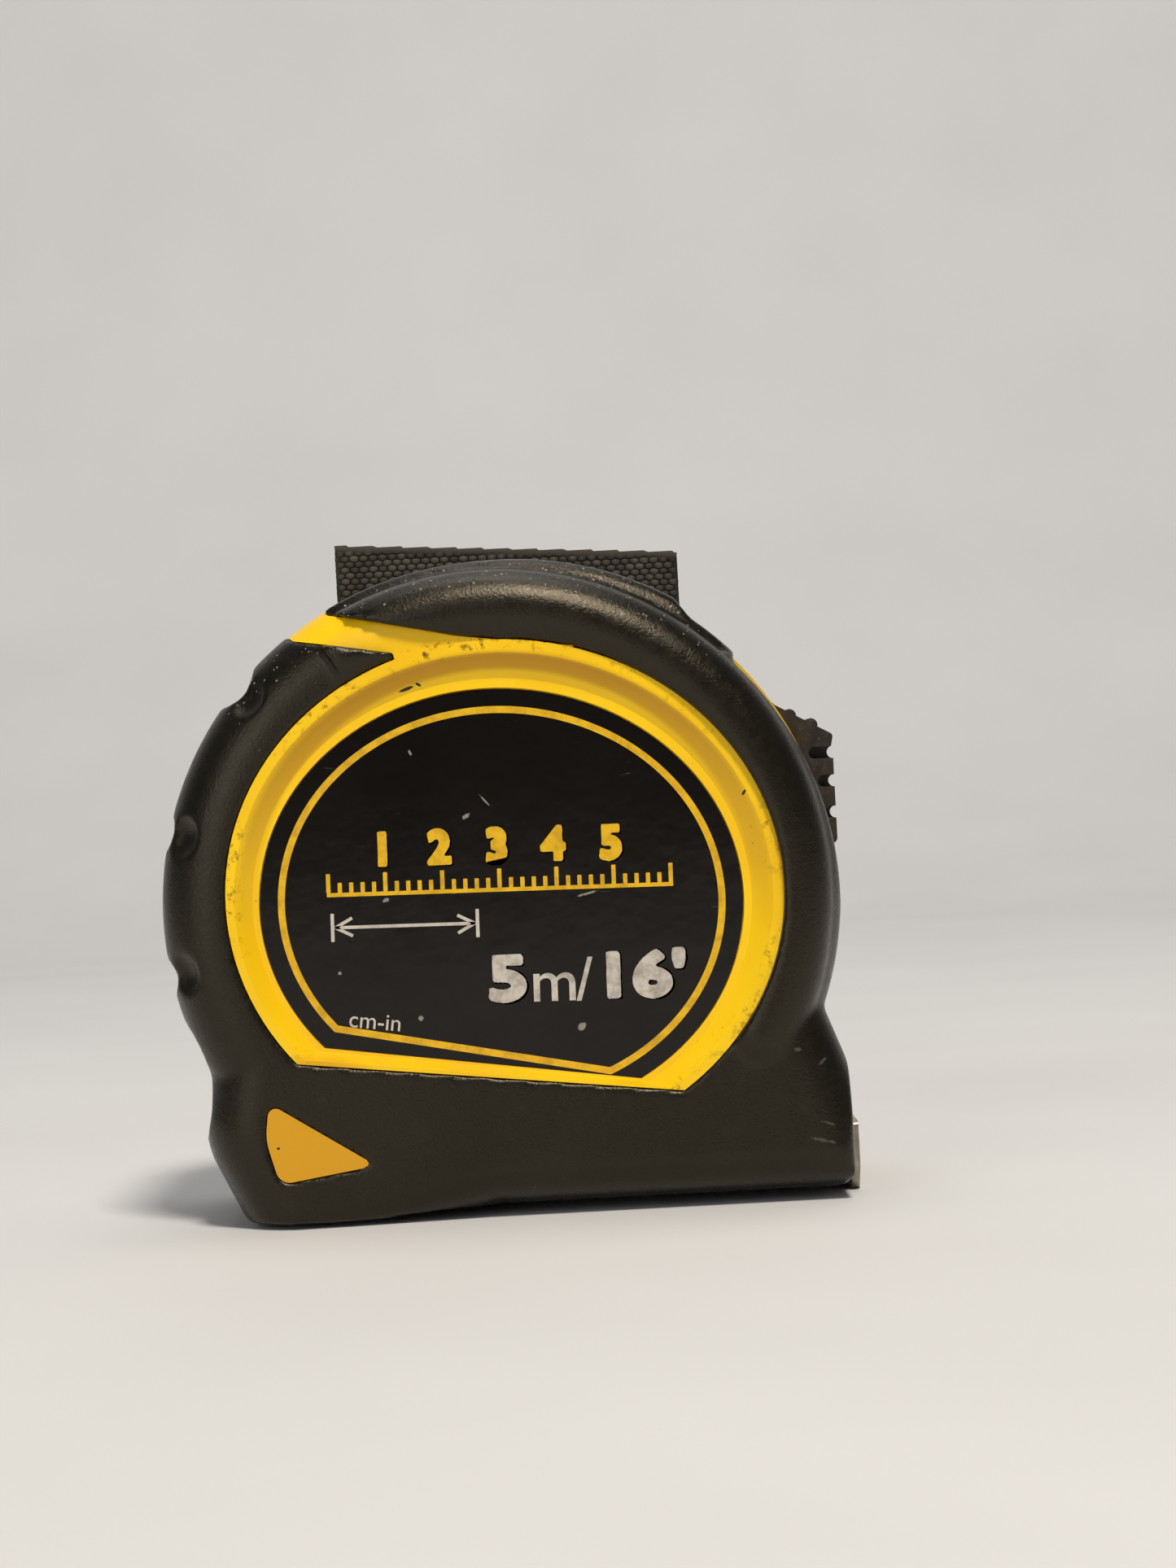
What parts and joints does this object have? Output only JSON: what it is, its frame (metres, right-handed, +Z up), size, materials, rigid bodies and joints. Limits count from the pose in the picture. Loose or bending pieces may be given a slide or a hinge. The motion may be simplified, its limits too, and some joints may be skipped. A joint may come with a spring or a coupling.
{
  "type": "tape measure",
  "caption": "Pocket tape measure: round two-shell case with rubber skin, spring reel, cupped steel blade with end hook, thumb lock, belt clip and webbing strap.",
  "frame": {"origin": "on the flat base of the case, straight below the reel axis and half way through the thickness", "axes": "+X towards the mouth and hook, +Y towards the belt clip, +Z up"},
  "size_m": [0.0688, 0.0422, 0.07],
  "materials": {
    "yellow_abs": "moulded yellow ABS, satin gloss, rubbed at the edges",
    "black_rubber": "moulded soft rubber, fine grain, dusty",
    "label_film": "printed glossy film, scratched",
    "zinc_steel": "zinc plated",
    "spring_steel": "rolled spring steel",
    "hook_steel": "pressed steel, worn",
    "brass_insert": "turned brass",
    "webbing": "woven nylon webbing",
    "nylon_reel": "moulded nylon",
    "blade_paint": "yellow lacquered steel strip",
    "button_plastic": "moulded dark plastic"
  },
  "bodies": {
    "case": {"front_shell": "yellow_abs", "rear_shell": "yellow_abs", "front_overmould": "black_rubber", "rear_overmould": "black_rubber", "front_label": "label_film", "centre_post": "zinc_steel", "case_screws": "zinc_steel", "hook_bumper": "black_rubber", "belt_clip": "spring_steel", "clip_screw": "zinc_steel", "clip_insert": "brass_insert", "webbing_strap": "webbing"},
    "reel": {"reel_drum": "nylon_reel", "reel_cover": "nylon_reel", "blade_coil": "blade_paint", "power_spring": "spring_steel"},
    "blade": {"blade_lead": "blade_paint", "hook_rivets": "zinc_steel"},
    "hook": {"end_hook": "hook_steel"},
    "lock": {"lock_button": "button_plastic", "lock_arm": "button_plastic", "brake_pad": "black_rubber"}
  },
  "joints": [
    {"name": "reel_spin", "type": "hinge", "parent": "case", "child": "reel", "pos_m": [0, 0, 0.0303], "axis": [0, -1, 0], "range_deg": [0, 73.1], "stiffness_Nm_per_rad": 0.02, "springref_deg": -114.59, "deforming": ["power_spring"]},
    {"name": "blade_slide", "type": "slide", "parent": "case", "child": "blade", "axis": [1, 0, 0], "range_m": [0, 0.03]},
    {"name": "hook_play", "type": "slide", "parent": "blade", "child": "hook", "axis": [1, 0, 0], "range_m": [0, 0.001]},
    {"name": "lock_slide", "type": "hinge", "parent": "case", "child": "lock", "pos_m": [0, 0, 0.0303], "axis": [0, 1, 0], "range_deg": [0, 13.5]}
  ],
  "couplings": [
    {"joint": "blade_slide", "follows": "reel_spin", "m_per_rad": 0.0235}
  ]
}
